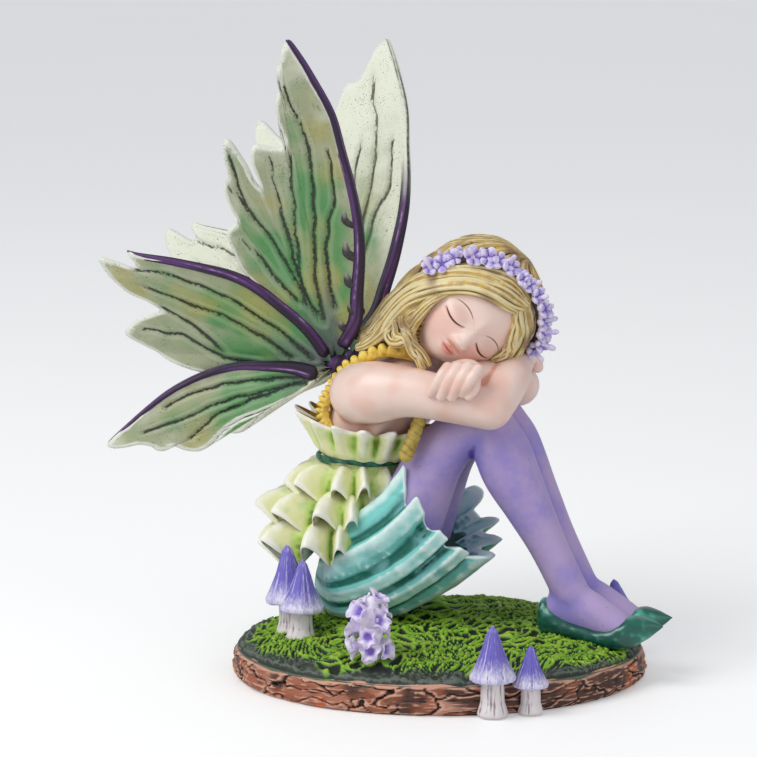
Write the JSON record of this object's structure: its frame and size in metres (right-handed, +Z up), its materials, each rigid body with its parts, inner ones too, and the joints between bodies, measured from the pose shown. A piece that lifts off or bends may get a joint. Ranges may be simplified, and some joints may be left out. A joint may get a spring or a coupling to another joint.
{
  "type": "fairy figurine",
  "caption": "Winged fairy sitting asleep on a mossy oval of log, head laid on folded arms over drawn-up knees, with toadstools and flowers round the skirt.",
  "frame": {"origin": "middle of the flat underside of the base", "axes": "+X the way the fairy faces, +Y the fairy's left, +Z up"},
  "size_m": [0.12, 0.0762, 0.1333],
  "materials": {
    "painted_resin": "hand-painted polyresin, satin",
    "painted_wing": "hand-painted polyresin, satin"
  },
  "bodies": {
    "root": {"figurine": "painted_resin", "right_wing": "painted_wing", "left_wing": "painted_wing"}
  },
  "joints": []
}
